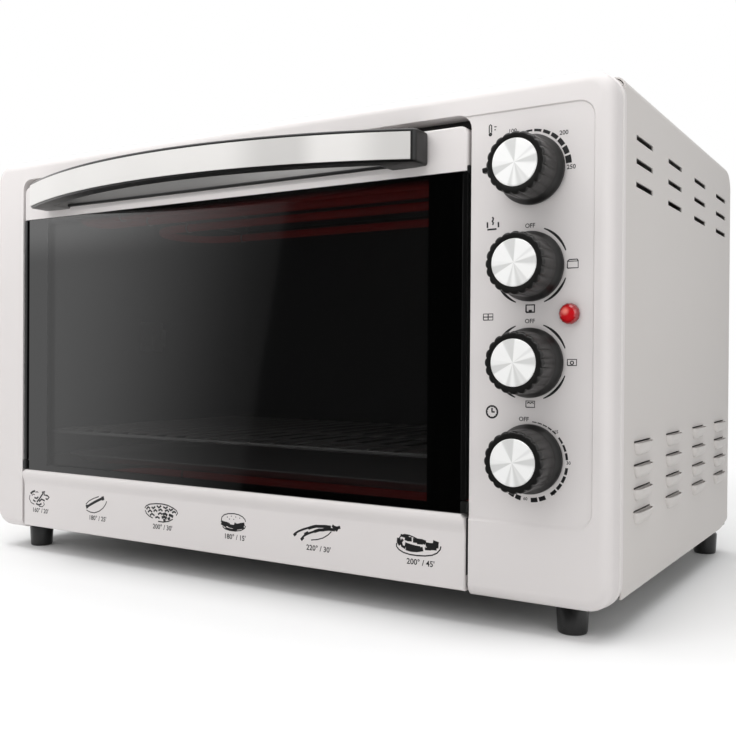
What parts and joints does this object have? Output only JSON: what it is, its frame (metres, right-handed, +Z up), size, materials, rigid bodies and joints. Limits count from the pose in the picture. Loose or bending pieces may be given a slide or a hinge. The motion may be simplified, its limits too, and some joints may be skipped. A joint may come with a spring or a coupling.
{
  "type": "countertop oven",
  "caption": "Free-standing electric oven: steel box, glass door hinged along its bottom edge, bowed bar handle, control strip with round knobs and a pilot lamp, rack, tray and short feet.",
  "frame": {"origin": "on the table, in the middle of the oven's width and of its whole depth from handle to cable gland", "axes": "+X to the right seen from the front, -Y out of the door, +Z up"},
  "size_m": [0.5616, 0.4092, 0.34],
  "materials": {
    "panel_steel": "smooth satin silver-white lacquer",
    "casing_paint": "satin silver-grey lacquer",
    "plain_steel": "plain zinc-coated sheet",
    "liner_steel": "aluminised sheet",
    "bright_steel": "polished",
    "wire_chrome": "chromed wire",
    "dark_glass": "tinted, glossy, with a black printed border",
    "black_plastic": "fine satin black",
    "black_rubber": "matt",
    "knob_aluminium": "radially brushed",
    "heater_red": "hot metal sheath, matt",
    "lamp_red": "clear red, faceted inside",
    "unit_plastic": "plain moulded",
    "brass": "turned"
  },
  "bodies": {
    "shell": {"front_frame": "panel_steel", "outer_casing": "casing_paint", "back_panel": "plain_steel", "base_plate": "plain_steel", "cable_gland": "black_plastic", "cavity_liner": "liner_steel", "upper_element_front": "heater_red", "upper_element_rear": "heater_red", "lower_element_front": "heater_red", "lower_element_rear": "heater_red", "upper_element_bracket": "plain_steel", "lower_element_bracket": "plain_steel", "fan_cover": "liner_steel", "fan_motor": "plain_steel", "spit_motor": "unit_plastic", "spit_cradle": "plain_steel", "thermostat": "unit_plastic", "heat_selector": "unit_plastic", "function_selector": "unit_plastic", "timer": "plain_steel", "lamp_lens": "lamp_red", "lamp_holder": "unit_plastic", "rack_guide_left": "liner_steel", "rack_guide_right": "liner_steel", "hinge_bracket_left": "plain_steel", "hinge_bracket_right": "plain_steel", "hinge_pin_left": "bright_steel", "hinge_pin_right": "bright_steel", "foot_front_left": "black_plastic", "foot_front_right": "black_plastic", "foot_rear_left": "black_plastic", "foot_rear_right": "black_plastic"},
    "door": {"door_top_rail": "panel_steel", "door_bottom_rail": "panel_steel", "door_stile_left": "panel_steel", "door_stile_right": "panel_steel", "door_glass": "dark_glass", "door_pad_left": "black_rubber", "door_pad_right": "black_rubber", "handle_bar": "black_plastic", "handle_strip": "bright_steel", "handle_screw_left": "plain_steel", "handle_screw_right": "plain_steel"},
    "rack": {"wire_rack": "wire_chrome"},
    "tray": {"baking_tray": "liner_steel"},
    "fan": {"fan_blade": "plain_steel"},
    "spit_drive": {"spit_socket": "brass"},
    "temperature_dial": {"temperature_knob": "black_plastic", "temperature_knob_cap": "knob_aluminium", "temperature_shaft": "brass"},
    "heat_dial": {"heat_knob": "black_plastic", "heat_knob_cap": "knob_aluminium", "heat_shaft": "brass"},
    "function_dial": {"function_knob": "black_plastic", "function_knob_cap": "knob_aluminium", "function_shaft": "brass"},
    "timer_dial": {"timer_knob": "black_plastic", "timer_knob_cap": "knob_aluminium", "timer_shaft": "brass"}
  },
  "joints": [
    {"name": "door_hinge", "type": "hinge", "parent": "shell", "child": "door", "pos_m": [-0.0269, -0.1406, 0.026], "axis": [1, 0, 0], "range_deg": [0, 80]},
    {"name": "rack_slide", "type": "slide", "parent": "shell", "child": "rack", "axis": [0, -1, 0], "range_m": [0, 0.105]},
    {"name": "tray_slide", "type": "slide", "parent": "shell", "child": "tray", "axis": [0, -1, 0], "range_m": [0, 0.077]},
    {"name": "fan_spin", "type": "hinge", "parent": "shell", "child": "fan", "pos_m": [0.1841, 0.0744, 0.19], "axis": [1, 0, 0], "continuous": true},
    {"name": "spit_spin", "type": "hinge", "parent": "shell", "child": "spit_drive", "pos_m": [0.1841, 0.0044, 0.19], "axis": [1, 0, 0], "continuous": true},
    {"name": "temperature_turn", "type": "hinge", "parent": "shell", "child": "temperature_dial", "pos_m": [0.2291, -0.1456, 0.283], "axis": [0, 1, 0], "range_deg": [0, 270]},
    {"name": "heat_turn", "type": "hinge", "parent": "shell", "child": "heat_dial", "pos_m": [0.2291, -0.1456, 0.2248], "axis": [0, 1, 0], "range_deg": [0, 270]},
    {"name": "function_turn", "type": "hinge", "parent": "shell", "child": "function_dial", "pos_m": [0.2291, -0.1456, 0.1666], "axis": [0, 1, 0], "range_deg": [0, 270]},
    {"name": "timer_turn", "type": "hinge", "parent": "shell", "child": "timer_dial", "pos_m": [0.2291, -0.1456, 0.1084], "axis": [0, 1, 0], "range_deg": [0, 320]}
  ],
  "couplings": [
    {"joint": "rack_slide", "follows": "door_hinge", "m_per_rad": 0.075},
    {"joint": "tray_slide", "follows": "door_hinge", "m_per_rad": 0.055}
  ]
}
